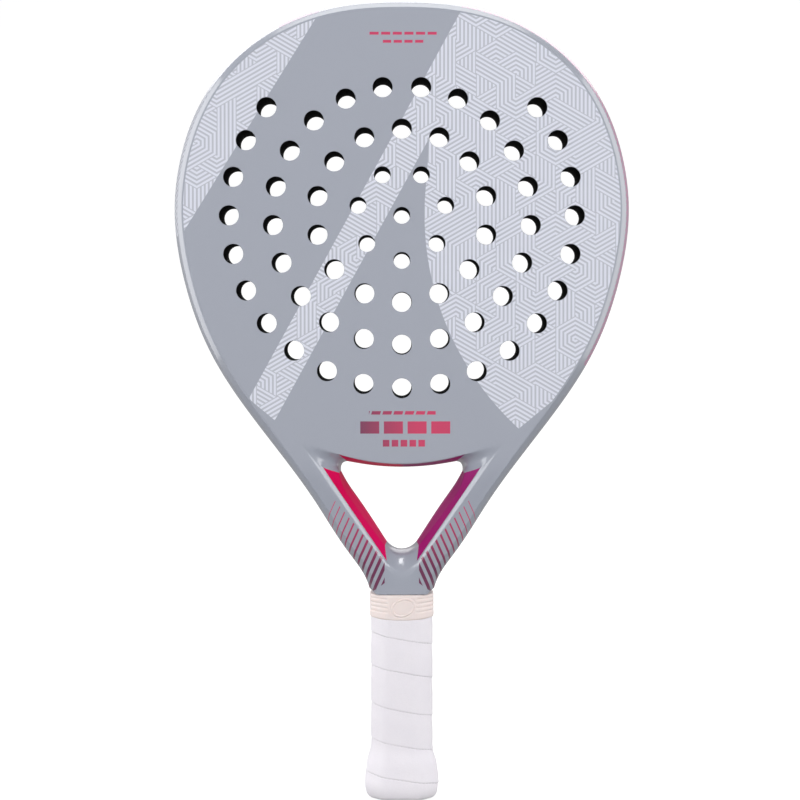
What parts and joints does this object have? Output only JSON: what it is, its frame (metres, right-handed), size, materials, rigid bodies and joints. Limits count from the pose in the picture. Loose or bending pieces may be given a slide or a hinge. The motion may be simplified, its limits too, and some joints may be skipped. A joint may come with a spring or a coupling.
{
  "type": "padel racket",
  "caption": "Perforated foam-cored padel bat with a hollow moulded frame, open throat, bridge, octagonal wrapped grip, rubber collar and flared butt.",
  "frame": {"origin": "middle of the butt's lowest point, halfway through the thickness", "axes": "+Z from the butt to the tip, +X to the right across the front face, and the front face looks towards -Y"},
  "size_m": [0.26, 0.038, 0.455],
  "materials": {
    "frame_paint": "glossy grey paint over a carbon laminate",
    "face_paint": "satin grey paint over a carbon laminate",
    "laminate": "bare carbon laminate, satin",
    "eva_core": "matt closed-cell foam",
    "handle_foam": "matt rigid foam",
    "bladder": "thin translucent nylon film",
    "butt_cap": "satin moulded plastic",
    "staples": "bright drawn wire",
    "grip": "matt tacky polyurethane tape",
    "tape": "matt adhesive tape",
    "collar": "soft translucent moulded rubber"
  },
  "bodies": {
    "root": {"frame_tube": "frame_paint", "frame_bladder": "bladder", "throat_bridge": "frame_paint", "bridge_foam": "handle_foam", "neck_wrap": "frame_paint", "handle_foam": "handle_foam", "eva_core": "eva_core", "front_face_skin": "face_paint", "rear_face_skin": "face_paint", "handle_shell": "laminate", "butt_cap": "butt_cap", "butt_cap_staples": "staples", "grip_wrap": "grip", "finishing_tape": "tape", "rubber_collar": "collar"}
  },
  "joints": []
}
